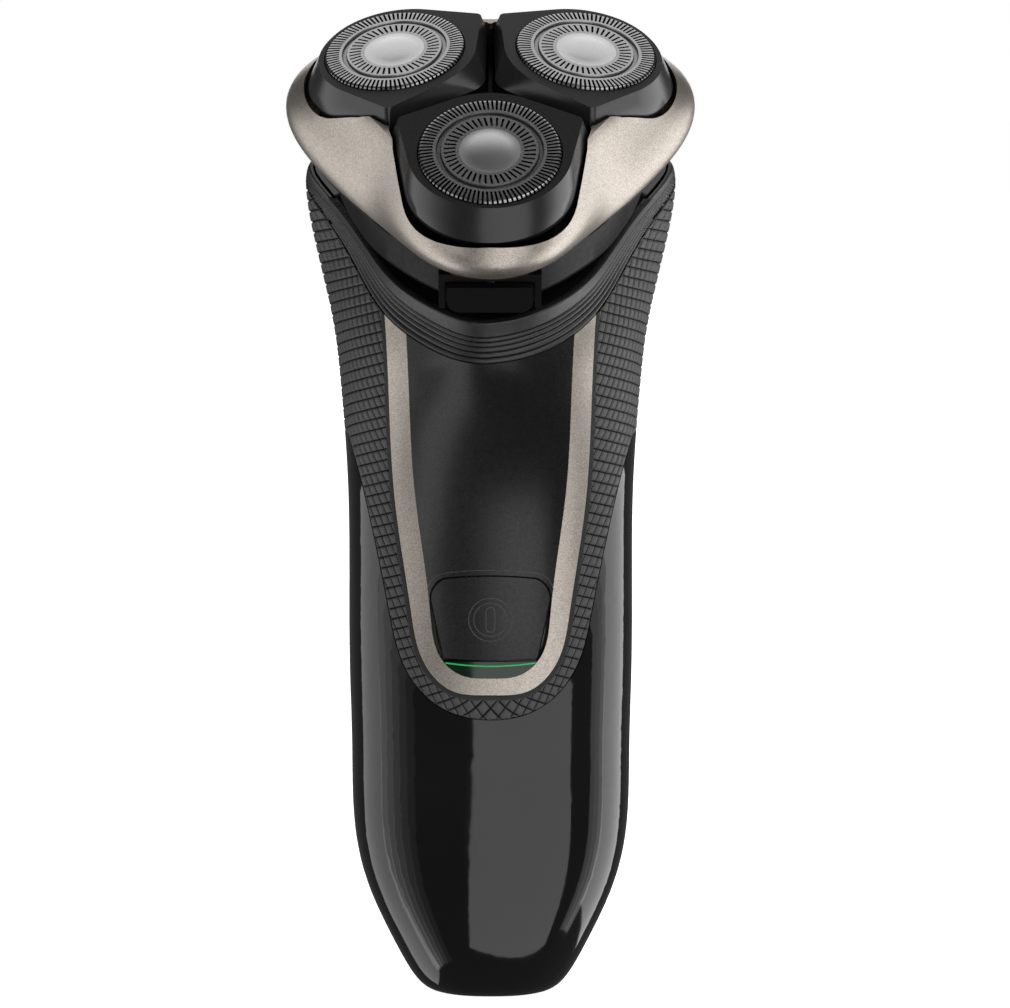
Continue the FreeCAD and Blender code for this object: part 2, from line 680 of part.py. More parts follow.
def build_gears(parts):
    sun = gear_blank(SUN_TEETH, GEAR_LOW, GEAR_HIGH, -90.0)
    shaft = cylinder(2.5, FLOOR_BOTTOM - 1, GEAR_LOW)
    hub = cylinder(4.0, PIVOT_LEVEL - 1.2, FLOOR_BOTTOM - 0.4)
    socket = square_prism(4.0, PIVOT_LEVEL - 2, PIVOT_LEVEL + 1.4)
    parts["sun_gear"] = in_head(fused([sun, shaft, hub]).cut(socket))
    for index, name in enumerate(POD_NAMES):
        half_step = 180.0 / SPINDLE_TEETH
        teeth = gear_blank(SPINDLE_TEETH, GEAR_LOW, GEAR_HIGH, 90.0 + half_step)
        window = cylinder(1.4, GEAR_LOW - 1, GEAR_HIGH + 1, 5.6, 0)
        for i in range(6):
            teeth = teeth.cut(turned(window, ORIGIN, Z_AXIS, 60.0 * i + 30))
        hub = cylinder(HUB_R, GEAR_LOW, HUB_TOP)
        journal = cylinder(1.2, GEAR_LOW - 1.6, GEAR_LOW)
        bore = square_prism(HUB_BORE, GEAR_LOW + 0.6, HUB_TOP + 1)
        gear = fused([teeth, hub, journal]).cut(bore)
        shaft = square_prism(SPINDLE_SQUARE, -12.4, -9.0)
        neck = cylinder(0.9, -9.0, -6.0)
        level = -COUPLING_DEPTH * math.cos(math.radians(POD_LEAN))
        head = square_prism(2.8, level - 0.9, level + 0.4)
        cap = Part.makeLoft([square_wire(2.8, level + 0.4), square_wire(1.6, level + 1.0)], True, True)
        spindle = fused([shaft, neck, head, cap])
        spring = coil(1.1, 0.25, GEAR_LOW + 0.6, -12.4, 4.0)
        pieces = {"spindle_gear_": gear, "drive_spindle_": spindle, "spindle_spring_": spring}
        for node, shape in pieces.items():
            placed = round_the_head(moved(shape, vec(0, -SPINDLE_RADIUS, 0)), index)
            parts[node + name] = in_head(placed)


def square_wire(width, z):
    half = width / 2.0
    corners = [vec(-half, -half, z), vec(half, -half, z), vec(half, half, z), vec(-half, half, z)]
    return Part.makePolygon(corners + [corners[0]])


# ---- head base ----------------------------------------------------------------------------------
def gear_circles(radii, z0, z1):
    spindle_radius, sun_radius = radii
    centre = cylinder(spindle_radius, z0, z1, 0, -SPINDLE_RADIUS)
    circles = [round_the_head(centre, index) for index in range(POD_COUNT)]
    return fused(circles + [cylinder(sun_radius, z0, z1)])


def gearbox_screw_places(radius, z0, z1):
    place = cylinder(radius, z0, z1, 0, GEARBOX_SCREW_RADIUS)
    return [round_the_head(place, index) for index in range(POD_COUNT)]


def build_pivot_ring(parts):
    ring = tube(15.0, 12.6, PIVOT_LEVEL - 1.2, PIVOT_LEVEL + 1.2)
    pins = [ring]
    for quarter in range(4):
        pin = cylinder_along(GIMBAL_PIN_R, vec(14.0, 0, PIVOT_LEVEL), vec(17.8, 0, PIVOT_LEVEL))
        pins.append(turned(pin, ORIGIN, Z_AXIS, 90.0 * quarter))
    parts["pivot_ring"] = in_head(fused(pins))


def build_base(parts):
    bowl_wires = [
        trefoil_wire(-27.0, BASE_BOWL_FLOOR),
        trefoil_wire(-25.2, BASE_BOWL_EDGE),
        trefoil_wire(-23.6, BASE_BOWL),
        trefoil_wire(-18.0, BASE_BOWL),
    ]
    bowl = Part.makeLoft(bowl_wires, True, True)
    rim = trefoil_plate(BASE_RIM, -18.2, -17.15)
    flange = trefoil_plate(BASE_FLANGE, -17.2, FLOOR_TOP)
    housing = gear_circles(GEAR_HOUSING, -17.0, COVER_LOW)
    bosses = gearbox_screw_places(GEARBOX_BOSS_R, -17.0, COVER_LOW)
    base = fused([bowl, rim, flange, housing] + bosses)
    base = base.cut(cylinder(19.3, -30, FLOOR_BOTTOM))
    base = base.cut(gear_circles(GEAR_POCKET, FLOOR_TOP, COVER_LOW + 1))
    base = base.cut(cylinder(2.5 + RUNNING_GAP, -30, 0))
    lugs = []
    for side in (0, 180):
        post = box(-2.0, 2.0, 15.8, 17.6, PIVOT_LEVEL, FLOOR_BOTTOM + 0.5)
        eye = cylinder_along(2.0, vec(0, 15.8, PIVOT_LEVEL), vec(0, 17.6, PIVOT_LEVEL))
        lugs.append(turned(post.fuse(eye), ORIGIN, Z_AXIS, side))
    housing_block = box(-8.6, 8.6, -28.4, -22.5, -25.4, -18.2)
    arms = []
    for side in (-1, 1):
        x0, x1 = (4.6, 7.0) if side > 0 else (-7.0, -4.6)
        arm = box(x0, x1, 20.5, -HINGE_REACH + 1.0, -20.6, -17.5)
        upright = box(x0, x1, -HINGE_REACH - 1.5, -HINGE_REACH + 2.2, -20.6, HINGE_LEVEL)
        eye = cylinder_along(2.2, vec(x0, -HINGE_REACH, HINGE_LEVEL), vec(x1, -HINGE_REACH, HINGE_LEVEL))
        arms += [arm, upright, eye]
    base = fused([base, housing_block] + lugs + arms)
    lug_bore = cylinder_along(GIMBAL_PIN_R + RUNNING_GAP, vec(0, -20, PIVOT_LEVEL), vec(0, 20, PIVOT_LEVEL))
    start = vec(-9, -HINGE_REACH, HINGE_LEVEL)
    hinge_bore = cylinder_along(HINGE_PIN_R, start, vec(9, -HINGE_REACH, HINGE_LEVEL))
    for cutter in (lug_bore, hinge_bore):
        base = base.cut(cutter)
    for index in range(POD_COUNT):
        base = base.cut(round_the_head(cylinder(1.2 + RUNNING_GAP, -18.2, -16, 0, -SPINDLE_RADIUS), index))
    for hole in gearbox_screw_places(0.8, -15.8, 0):
        base = base.cut(hole)
    base = base.cut(release_pocket())
    parts["head_base"] = in_head(one_solid(base))

    cover = gear_circles(GEAR_HOUSING, COVER_LOW, COVER_HIGH)
    cover = fused([cover] + gearbox_screw_places(GEARBOX_BOSS_R, COVER_LOW, COVER_HIGH))
    for hole in gearbox_screw_places(0.8, -15.8, 0):
        cover = cover.cut(hole)
    for index in range(POD_COUNT):
        cover = cover.cut(round_the_head(cylinder(HUB_R + 0.1, -20, 0, 0, -SPINDLE_RADIUS), index))
    parts["gearbox_cover"] = in_head(cover)
    build_gearbox_screws(parts)

    seal = trefoil_plate(BASE_FLANGE, FLOOR_TOP, FLOOR_TOP + 0.6, 0.6)
    spindle_radius, sun_radius = GEAR_HOUSING
    seal = seal.cut(gear_circles((spindle_radius + 0.1, sun_radius + 0.1), -20, 0))
    for boss in gearbox_screw_places(GEARBOX_BOSS_R + 0.1, -20, 0):
        seal = seal.cut(boss)
    parts["chamber_seal"] = in_head(seal)


def build_gearbox_screws(parts):
    heads = gearbox_screw_places(1.4, COVER_HIGH, COVER_HIGH + 0.3)
    shanks = gearbox_screw_places(0.78, -15.6, COVER_HIGH)
    screws = [in_head(head.fuse(shank)) for head, shank in zip(heads, shanks)]
    parts["gearbox_screws"] = Part.Compound(screws)


def release_pocket():
    return box(-7.5, 7.5, -29.0, -26.4, -26.0, -19.7)


def build_release(parts):
    corners = [(-7.2, -19.9), (7.2, -19.9), (7.2, -25.2), (-7.2, -25.2)]
    face = rounded_polygon(corners, [0.5, 0.5, 2.2, 2.2], 0)
    plate = turned(Part.Face(face).extrude(vec(0, 0, 1.5)), ORIGIN, X_AXIS, 90)
    plate = moved(plate, vec(0, -28.3, 0))
    parts["release_button"] = in_head(plate)
    spring = turned(coil(1.6, 0.25, 0, 1.9, 3.0), ORIGIN, X_AXIS, 90)
    parts["release_spring"] = in_head(moved(spring, vec(0, -26.4, -22.6)))


def build_hinge_pin(parts):
    start = vec(-7.4, -HINGE_REACH, HINGE_LEVEL)
    end = vec(7.4, -HINGE_REACH, HINGE_LEVEL)
    parts["head_hinge_pin"] = in_head(cylinder_along(HINGE_PIN_R, start, end))


# ---- head cover, pods, guards and cutters -------------------------------------------------------
def pod_solid(gap):
    wires = [pod_wire(level, gap) for level in POD_LEVELS]
    if gap > 0:
        wires = [pod_wire(POD_LEVELS[0], gap, 4.0)] + wires[:-1] + [pod_wire(POD_LEVELS[-2], gap, -9.0)]
    return Part.makeLoft(wires, True, True)


def build_head_shell(parts):
    outer = Part.makeLoft([trefoil_wire(level, radii) for level, radii in SHELL_LEVELS], True, False)
    inner_wires = [trefoil_wire(level, radii, SHELL_WALL) for level, radii in SHELL_LEVELS]
    inner = Part.makeLoft(inner_wires, True, False)
    lid_cut = box(-FAR, FAR, -FAR, FAR, -2.6, 0)
    shell = outer.cut(inner.cut(lid_cut)).cut(cylinder(SADDLE_INNER_R, -20, 0))
    opening = pod_solid(POD_SHELL_GAP)
    for index in range(POD_COUNT):
        shell = shell.cut(in_pod(opening, index))
    shell = one_solid(shell)
    knuckle = cylinder_along(2.2, vec(-4.3, -HINGE_REACH, HINGE_LEVEL), vec(4.3, -HINGE_REACH, HINGE_LEVEL))
    web = box(-4.3, 4.3, 24.0, -HINGE_REACH, HINGE_LEVEL - 1.0, HINGE_LEVEL + 1.6)
    shell = fused([shell, knuckle, web])
    start = vec(-9, -HINGE_REACH, HINGE_LEVEL)
    bore = cylinder_along(HINGE_PIN_R + RUNNING_GAP, start, vec(9, -HINGE_REACH, HINGE_LEVEL))
    parts["head_shell"] = in_head(shell.cut(bore))


def build_pod_frame(parts):
    plate = trefoil_plate(FRAME_PLATE, -9.5, -8.9)
    hub_hole = cylinder(4.9, -20, 0, 0, -SPINDLE_RADIUS)
    lower = trefoil_plate(RETAINER_PLATE, -10.4, -9.7)
    pieces = []
    for index in range(POD_COUNT):
        plate = plate.cut(round_the_head(hub_hole, index))
        lower = lower.cut(round_the_head(hub_hole, index))
        web = box(-0.35, 0.35, 3.0, 20.5, -9.0, -6.6)
        pieces.append(round_the_head(web, index))
        for side in (-1, 1):
            x0, x1 = (10.3, 11.9) if side > 0 else (-11.9, -10.3)
            post = box(x0, x1, -1.5, 1.5, -9.4, -4.2)
            inner_end = vec(side * 10.3, 0, -COUPLING_DEPTH)
            pin = cylinder_along(POD_PIN_R, inner_end, vec(side * 14.2, 0, -COUPLING_DEPTH))
            pieces.append(in_pod(post.fuse(pin), index).common(box(-FAR, FAR, -FAR, FAR, -9.5, 9)))
    centre = cylinder(2.56, -20, 0)
    parts["pod_frame"] = in_head(fused([plate] + pieces).cut(centre))
    parts["retaining_frame"] = in_head(lower.cut(centre))
    stem = cylinder(2.5, -10.9, -8.2)
    knob = cylinder(4.6, -11.1, -10.45)
    parts["frame_lock"] = in_head(stem.fuse(knob))


def slot_comb(count, inner_r, outer_r, low, high, slant):
    slots = []
    middle = (inner_r + outer_r) / 2
    for i in range(count):
        slot = box(inner_r, outer_r, -SLOT_WIDTH / 2, SLOT_WIDTH / 2, low, high)
        slot = turned(slot, vec(middle, 0, 0), Z_AXIS, slant)
        slots.append(turned(slot, ORIGIN, Z_AXIS, 360.0 * i / count))
    return slots


def guard_blank():
    top = GUARD_TOP
    under = top - GUARD_SHEET
    edge = 0.6
    points = [
        (CAP_R + 0.03, top),
        (GROOVE[0], top),
        (GROOVE[0] + 0.15, under + 0.1),
        (GROOVE[1] - 0.15, under + 0.1),
        (GROOVE[1], top),
        (GUARD_R - edge, top),
    ]
    rest = [
        (GUARD_R, top - edge),
        (GUARD_R, -2.0),
        (GUARD_R + 0.4, -2.0),
        (GUARD_R + 0.4, -2.5),
        (GUARD_R - GUARD_SHEET, -2.5),
        (GUARD_R - GUARD_SHEET, under),
        (GROOVE[1] + 0.4, under),
        (GROOVE[1] + 0.4, under - 0.4),
        (GROOVE[0] - 0.4, under - 0.4),
        (GROOVE[0] - 0.4, under),
        (CAP_R + 0.5, under),
        (CAP_R + 0.5, under - 0.6),
        (CAP_R + 0.03, under - 0.6),
    ]
    to_vec = [vec(r, 0, z) for r, z in points]
    rest_vec = [vec(r, 0, z) for r, z in rest]
    bend = vec(GUARD_R - edge + edge * math.sin(math.pi / 4), 0, top - edge + edge * math.cos(math.pi / 4))
    edges = list(Part.makePolygon(to_vec).Edges)
    edges.append(Part.Arc(to_vec[-1], bend, rest_vec[0]).toShape())
    edges += Part.makePolygon(rest_vec + [to_vec[0]]).Edges
    return Part.Face(Part.Wire(edges)).revolve(ORIGIN, Z_AXIS, 360)


def build_guard():
    guard = guard_blank()
    slots = slot_comb(OUTER_SLOTS, OUTER_TRACK[0], OUTER_TRACK[1] + 0.4, -0.75, 1.0, 5.0)
    slots += slot_comb(INNER_SLOTS, INNER_TRACK[0], INNER_TRACK[1], -0.3, 1.0, 8.0)
    return guard.cut(Part.Compound(slots))


def build_cap():
    disc = cylinder(CAP_R, -0.6, GUARD_TOP)
    dome_r = 22.0
    sphere = Part.makeSphere(dome_r, vec(0, 0, GUARD_TOP + 0.45 - dome_r))
    return disc.fuse(cylinder(CAP_R - 0.15, GUARD_TOP, 2.0).common(sphere))


def build_cutter():
    plate = tube(11.0, 4.2, -2.6, -2.1)
    pieces = [plate]
    for inner_r, outer_r in ((5.9, 7.4), (9.7, 11.0)):
        for i in range(BLADE_COUNT):
            blade = box(inner_r, outer_r, -0.25, 0.25, -3.2, 1.2)
            blade = turned(blade, vec(0, 0, -2.3), X_AXIS, 28)
            pieces.append(turned(blade, ORIGIN, Z_AXIS, 360.0 * i / BLADE_COUNT))
    cutter = fused(pieces)
    return one_solid(cutter.common(cylinder(20, -2.6, -0.1)))


def build_cutter_hub():
    hub = cylinder(4.6, -7.0, -2.6).fuse(cylinder(4.2, -2.6, -1.9))
    socket = square_prism(3.6, -5.2, -3.6)
    mouth = Part.makeCone(4.1, 2.5, 2.0, vec(0, 0, -7.1), Z_AXIS)
    return hub.cut(socket).cut(mouth)


def build_pod_body():
    pod = pod_solid(0.0)
    pod = pod.cut(cylinder(GUARD_R + 0.12, -3, 2))
    pod = pod.cut(cylinder(GUARD_R + 0.65, -9, -1.9))
    ends = [vec(side * 14.3, 0, -COUPLING_DEPTH) for side in (-1, 1)]
    return one_solid(pod.cut(cylinder_along(POD_PIN_R + RUNNING_GAP, *ends)))


def build_pods(parts):
    pieces = {
        "cutter_pod_": build_pod_body(),
        "guard_": build_guard(),
        "guard_cap_": build_cap(),
        "cutter_blades_": build_cutter(),
        "cutter_hub_": build_cutter_hub(),
    }
    for index, name in enumerate(POD_NAMES):
        for node, shape in pieces.items():
            parts[node + name] = in_head(in_pod(shape, index))


def main():
    parts = {}
    build_handle(parts)
    build_insides(parts)
    build_socket(parts)
    build_motor(parts)
    build_gears(parts)
    build_pivot_ring(parts)
    build_base(parts)
    build_release(parts)
    build_hinge_pin(parts)
    build_head_shell(parts)
    build_pod_frame(parts)
    build_pods(parts)
    os.makedirs("parts", exist_ok=True)
    for name, shape in sorted(parts.items()):
        shape.exportStep("parts/" + name + ".step")
        print(name, len(shape.Solids), "solids", round(shape.Volume, 1), "mm3", shape.isValid())


main()
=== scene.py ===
"""Looks of the rotary electric shaver: materials, the textured rubber, thin lines and the studio.

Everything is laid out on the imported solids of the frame, in metres."""

import json
import math

import bmesh
import bpy
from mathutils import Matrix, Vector
from mathutils.bvhtree import BVHTree
from mathutils.kdtree import KDTree

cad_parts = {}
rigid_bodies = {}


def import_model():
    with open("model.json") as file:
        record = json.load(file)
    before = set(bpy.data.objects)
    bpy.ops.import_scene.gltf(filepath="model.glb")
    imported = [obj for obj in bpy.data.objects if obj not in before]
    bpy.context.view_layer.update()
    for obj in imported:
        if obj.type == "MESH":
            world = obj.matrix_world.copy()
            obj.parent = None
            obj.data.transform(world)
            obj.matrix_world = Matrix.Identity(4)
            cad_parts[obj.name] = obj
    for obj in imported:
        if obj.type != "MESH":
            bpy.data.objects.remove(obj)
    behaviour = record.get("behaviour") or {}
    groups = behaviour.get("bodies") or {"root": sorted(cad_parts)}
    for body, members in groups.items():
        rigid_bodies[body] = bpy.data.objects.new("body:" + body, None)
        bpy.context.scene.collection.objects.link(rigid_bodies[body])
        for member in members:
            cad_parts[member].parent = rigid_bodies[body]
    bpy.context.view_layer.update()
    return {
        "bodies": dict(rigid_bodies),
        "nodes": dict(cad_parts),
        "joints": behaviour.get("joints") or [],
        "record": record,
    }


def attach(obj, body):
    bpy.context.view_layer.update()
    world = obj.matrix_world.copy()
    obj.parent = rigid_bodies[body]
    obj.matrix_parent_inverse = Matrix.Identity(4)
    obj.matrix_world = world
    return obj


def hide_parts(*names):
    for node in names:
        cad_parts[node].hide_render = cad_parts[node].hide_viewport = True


MM = 0.001

# edges sharper than this stay crisp on the CAD solids, and points closer than this are joined
CRISP_ANGLE = math.radians(28.0)
WELD_DISTANCE = 0.0005 * MM

# where the leaning head's own frame sits, as in the CAD source, and the level of the handle's mouth in it
HEAD_LEAN = math.radians(33.5)
HEAD_ORIGIN = Vector((0.0, -20.0, 159.6)) * MM
HEAD_AXIS = Vector((0.0, -math.sin(HEAD_LEAN), math.cos(HEAD_LEAN)))
MOUTH_LEVEL = -28.2 * MM

# plane along the collar's lower edge
COLLAR_LEAN = math.radians(38.0)
COLLAR_POINT = Vector((0.0, -25.0, 113.8)) * MM
COLLAR_AXIS = Vector((0.0, -math.sin(COLLAR_LEAN), math.cos(COLLAR_LEAN)))

# textured grip: the border runs beside the trim band, and the seam runs round the whole edge
GRIP_LOW = 43.0 * MM
GRIP_HIGH = 150.0 * MM
GRIP_WAIST = 90.0 * MM
GRIP_ROW = 0.2 * MM
GRIP_FRONT_COLUMN = 0.18 * MM
GRIP_BACK_COLUMN = 0.34 * MM
GRIP_THICKNESS = 1.0 * MM
GRIP_BORDER = 0.85 * MM
GRIP_SEAM = 0.22 * MM
GRIP_SEAM_DEPTH = 0.18 * MM
GRIP_CHANNEL_DEPTH = 0.14 * MM
GRIP_GROOVE_DEPTH = 0.38 * MM
GRIP_GROOVE_SHARE = 0.3
GRIP_BLEND = 0.1 * MM

# its two families of crossing lines, in millimetres: each is counted by height above the centre and by
# arc, the length round the handle from the front, and bends most within its own bend arc
GRIP_CENTRE = 53.0
ROW_PITCH = 2.9
ROW_PITCH_DROP = 1.05
ROW_PITCH_ARC = 9.0
ROW_SLOPE = 0.151
ROW_BEND = 0.86
ROW_BEND_ARC = 7.0
SLANT_RISE = 0.33
SLANT_SLOPE = 0.69
SLANT_BEND = 3.19
SLANT_BEND_ARC = 9.0

# ribbed collar
COLLAR_LOW = 108.0 * MM
COLLAR_HIGH = 156.0 * MM
COLLAR_WAIST = 112.0 * MM
COLLAR_ROW = 0.16 * MM
COLLAR_COLUMN = 0.4 * MM
COLLAR_THICKNESS = 0.75 * MM
COLLAR_RIB_SHARE = 0.118
COLLAR_RIBS = 5
COLLAR_SEAM = 0.25 * MM
COLLAR_SEAM_DEPTH = 0.15 * MM
COLLAR_GROOVE_DEPTH = 0.35 * MM
COLLAR_GROOVE_SHARE = 0.5

# power button mark: radii of the rings, half width and half height of the bar, radius of the wire
MARK_HEIGHT = 68.4 * MM
MARK_RINGS = (3.7 * MM, 2.85 * MM)
MARK_BAR = (0.75 * MM, 2.15 * MM)
MARK_WIRE = 0.09 * MM
RING_STEPS = 64
END_STEPS = 12

# thin lines on the front: distance across and height of the points they pass, in millimetres
ARCH_SIDE = [(-10.8, 73.4), (-10.0, 75.1), (-8.3, 76.2), (-4.2, 76.75)]
ARCH_TOP = (0.0, 76.9)
ARCH_WIRE = 0.08 * MM
LIT_SIDE = [(-7.7, 60.85), (-4.0, 60.5)]
LIT_MIDDLE = (0.0, 60.35)
LIT_WIRE = 0.13 * MM
SPAN_STEPS = 8

# studio
LIGHT_TARGET = Vector((0.0, 0.0, 0.09))
STRIP_ELEVATION = -20.0
STRIP_DISTANCE = 0.9
WORLD_STRENGTH = 0.08
STAGE_RADIUS = 8.0
FLOOR_GLOW = 0.93
BACKDROP_GLOW = 1.0

# camera: the lens is set by how many pixels one unit of slope covers
IMAGE_WIDTH = 1010.0
FOCAL_PIXELS = 5000.0
SENSOR_WIDTH = 36.0
CAMERA_PLACE = (0.0025, -0.864, 0.2038)
CAMERA_DROP = math.radians(7.79)
CAMERA_REACH = 50.0


# ---- materials ----------------------------------------------------------------------------------
class Surface:
    """A Principled material whose textures are laid out in the object's own coordinates."""

    def __init__(self, name, base, roughness, metallic=0.0):
        self.made = bpy.data.materials.new(name)
        self.made.use_nodes = True
        self.nodes = self.made.node_tree.nodes
        self.links = self.made.node_tree.links
        self.shader = self.nodes["Principled BSDF"]
        self.shader.inputs["Base Color"].default_value = (*base, 1.0)
        self.shader.inputs["Roughness"].default_value = roughness
        self.shader.inputs["Metallic"].default_value = metallic
        self.place = self.nodes.new("ShaderNodeTexCoord").outputs["Object"]

    def noise(self, size, detail=2.0):
        """Soft noise whose largest spots are about this size."""
        texture = self.nodes.new("ShaderNodeTexNoise")
        texture.inputs["Scale"].default_value = 1.0 / size
        texture.inputs["Detail"].default_value = detail
        self.links.new(self.place, texture.inputs["Vector"])
        return texture.outputs["Fac"]

    def flakes(self, size):
        """One random value for each cell of this size."""
        texture = self.nodes.new("ShaderNodeTexVoronoi")
        texture.inputs["Scale"].default_value = 1.0 / size
        self.links.new(self.place, texture.inputs["Vector"])
        parts = self.nodes.new("ShaderNodeSeparateColor")
        self.links.new(texture.outputs["Color"], parts.inputs["Color"])
        return parts.outputs["Red"]

    def vary(self, label, source, low, high):
        """Sets a socket between low and high by a noise."""
        ramp = self.nodes.new("ShaderNodeMapRange")
        ramp.inputs["From Min"].default_value = 0.3
        ramp.inputs["From Max"].default_value = 0.7
        ramp.inputs["To Min"].default_value = low
        ramp.inputs["To Max"].default_value = high
        self.links.new(source, ramp.inputs["Value"])
        self.links.new(ramp.outputs["Result"], self.shader.inputs[label])

    def tint(self, source, dark, light):
        """Sets the colour between dark and light by a noise."""
        ramp = self.nodes.new("ShaderNodeValToRGB")
        ramp.color_ramp.elements[0].position = 0.3
        ramp.color_ramp.elements[0].color = (*dark, 1.0)
        ramp.color_ramp.elements[1].position = 0.7
        ramp.color_ramp.elements[1].color = (*light, 1.0)
        self.links.new(source, ramp.inputs["Fac"])
        self.links.new(ramp.outputs["Color"], self.shader.inputs["Base Color"])

    def carried(self, name):
        """A number that each point of the mesh carries."""
        attribute = self.nodes.new("ShaderNodeAttribute")
        attribute.attribute_name = name
        return attribute.outputs["Fac"]

    def combine(self, operation, first, second):
        step = self.nodes.new("ShaderNodeMath")
        step.operation = operation
        self.links.new(first, step.inputs[0])
        self.links.new(second, step.inputs[1])
        return step.outputs["Value"]

    def line(self, name, share):
        """1 where this carried number is whole, and 0 past half this share of the pitch from there."""
        distance = self.nodes.new("ShaderNodeMath")
        distance.operation = "PINGPONG"
        distance.inputs[1].default_value = 0.5
        self.links.new(self.carried(name), distance.inputs[0])
        ramp = self.nodes.new("ShaderNodeMapRange")
        ramp.interpolation_type = "SMOOTHSTEP"
        ramp.inputs["From Max"].default_value = share / 2
        ramp.inputs["To Min"].default_value = 1.0
        ramp.inputs["To Max"].default_value = 0.0
        self.links.new(distance.outputs["Value"], ramp.inputs["Value"])
        return ramp.outputs["Result"]

    def paint_shade(self, share, colour):
        """Paints shade: mixes towards this colour and takes the gloss away by this share."""
        self.follow("Specular IOR Level", share, 0.5, 0.0)
        base = self.shader.inputs["Base Color"]
        before = base.links[0].from_socket
        mix = self.nodes.new("ShaderNodeMix")
        mix.data_type = "RGBA"
        sockets = {socket.identifier: socket for socket in [*mix.inputs, *mix.outputs]}
        self.links.new(share, sockets["Factor_Float"])
        self.links.new(before, sockets["A_Color"])
        sockets["B_Color"].default_value = (*colour, 1.0)
        self.links.new(sockets["Result_Color"], base)

    def paint_hollow_shade(self, distance):
        """Paints shade into the colour where other surfaces stand close by, from an ambient occlusion
        node.
        """
        base = self.shader.inputs["Base Color"]
        before = base.links[0].from_socket
        hollow = self.nodes.new("ShaderNodeAmbientOcclusion")
        hollow.samples = 8
        hollow.inputs["Distance"].default_value = distance
        ramp = self.nodes.new("ShaderNodeValToRGB")
        ramp.color_ramp.elements[0].position = 0.45
        ramp.color_ramp.elements[1].position = 0.95
        self.links.new(hollow.outputs["AO"], ramp.inputs["Fac"])
        shaded = self.nodes.new("ShaderNodeVectorMath")
        shaded.operation = "MULTIPLY"
        self.links.new(before, shaded.inputs[0])
        self.links.new(ramp.outputs["Color"], shaded.inputs[1])
        self.links.new(shaded.outputs["Vector"], base)

    def facing(self, direction):
        """1 where the surface faces this way, in the object's own directions, and 0 a little off it."""
        product = self.nodes.new("ShaderNodeVectorMath")
        product.operation = "DOT_PRODUCT"
        product.inputs[1].default_value = direction
        self.links.new(self.nodes.new("ShaderNodeTexCoord").outputs["Normal"], product.inputs[0])
        ramp = self.nodes.new("ShaderNodeMapRange")
        ramp.inputs["From Min"].default_value = 0.93
        ramp.inputs["From Max"].default_value = 0.98
        self.links.new(product.outputs["Value"], ramp.inputs["Value"])
        return ramp.outputs["Result"]

    def follow(self, label, share, off, on):
        """Sets a socket from off to on by a share between 0 and 1."""
        ramp = self.nodes.new("ShaderNodeMapRange")
        ramp.inputs["To Min"].default_value = off
        ramp.inputs["To Max"].default_value = on
        self.links.new(share, ramp.inputs["Value"])
        self.links.new(ramp.outputs["Result"], self.shader.inputs[label])

    def relief(self, source, depth, strength=1.0):
        """Raises the surface's shading by a noise."""
        bump = self.nodes.new("ShaderNodeBump")
        bump.inputs["Strength"].default_value = strength
        bump.inputs["Distance"].default_value = depth
        self.links.new(source, bump.inputs["Height"])
        self.links.new(bump.outputs["Normal"], self.shader.inputs["Normal"])


def grey(value):
    """Colour with three equal parts."""
    return (value, value, value)


def moulded(name, dark, light, roughness, grain, depth):
    """Plastic or rubber with a moulded grain: colour, gloss and relief all vary a little."""
    surface = Surface(name, light, roughness[0])
    surface.tint(surface.noise(grain * 7), dark, light)
    surface.vary("Roughness", surface.noise(grain * 3), *roughness)
    surface.relief(surface.noise(grain), depth)
    return surface.made


def grip_rubber():
    """Rubber with painted shade in its grooves: dark lines where the mesh's rows and slants are whole, and
    a dark seam.
    """
    surface = Surface("grip_rubber", grey(0.05), 0.55)
    surface.tint(surface.noise(0.8 * MM), grey(0.044), grey(0.056))
    lines = surface.combine("MAXIMUM", surface.line("rows", 0.26), surface.line("slants", 0.2))
    lines = surface.combine("MULTIPLY", lines, surface.carried("lined"))
    # painted shade: darker and less glossy in the grooves, in the seam and in the channel beside the trim
    # band
    surface.paint_shade(surface.combine("MAXIMUM", lines, surface.carried("seam")), grey(0.002))
    surface.vary("Roughness", surface.noise(0.4 * MM), 0.5, 0.62)
    surface.relief(surface.noise(0.12 * MM), 0.01 * MM)
    return surface.made


def collar_rubber():
    """Rubber with painted shade in its rib grooves: dark lines where the mesh's rows are whole."""
    surface = Surface("collar_rubber", grey(0.02), 0.42)
    surface.tint(surface.noise(1.0 * MM), grey(0.012), grey(0.018))
    lines = surface.combine("MULTIPLY", surface.line("rows", 0.42), surface.carried("lined"))
    # painted shade: darker and less glossy in the rib grooves
    surface.paint_shade(lines, grey(0.001))
    surface.vary("Roughness", surface.noise(0.45 * MM), 0.36, 0.46)
    surface.relief(surface.noise(0.15 * MM), 0.008 * MM)
    return surface.made


def metal(name, dark, light, roughness, grain, depth):
    """Metal with a fine grain: colour, gloss and relief all vary a little."""
    surface = Surface(name, light, roughness[0], 1.0)
    surface.tint(surface.noise(grain * 5, 3.0), dark, light)
    surface.vary("Roughness", surface.noise(grain * 2), *roughness)
    surface.relief(surface.noise(grain), depth)
    return surface.made


def bronze_paint():
    """Warm paint with fine metal flakes."""
    surface = Surface("bronze", (0.4, 0.36, 0.32), 0.38, 0.9)
    flakes = surface.flakes(0.11 * MM)
    surface.tint(flakes, (0.32, 0.285, 0.25), (0.48, 0.435, 0.39))
    surface.vary("Roughness", surface.noise(0.4 * MM), 0.33, 0.42)
    surface.relief(flakes, 0.01 * MM, 0.6)
    return surface.made


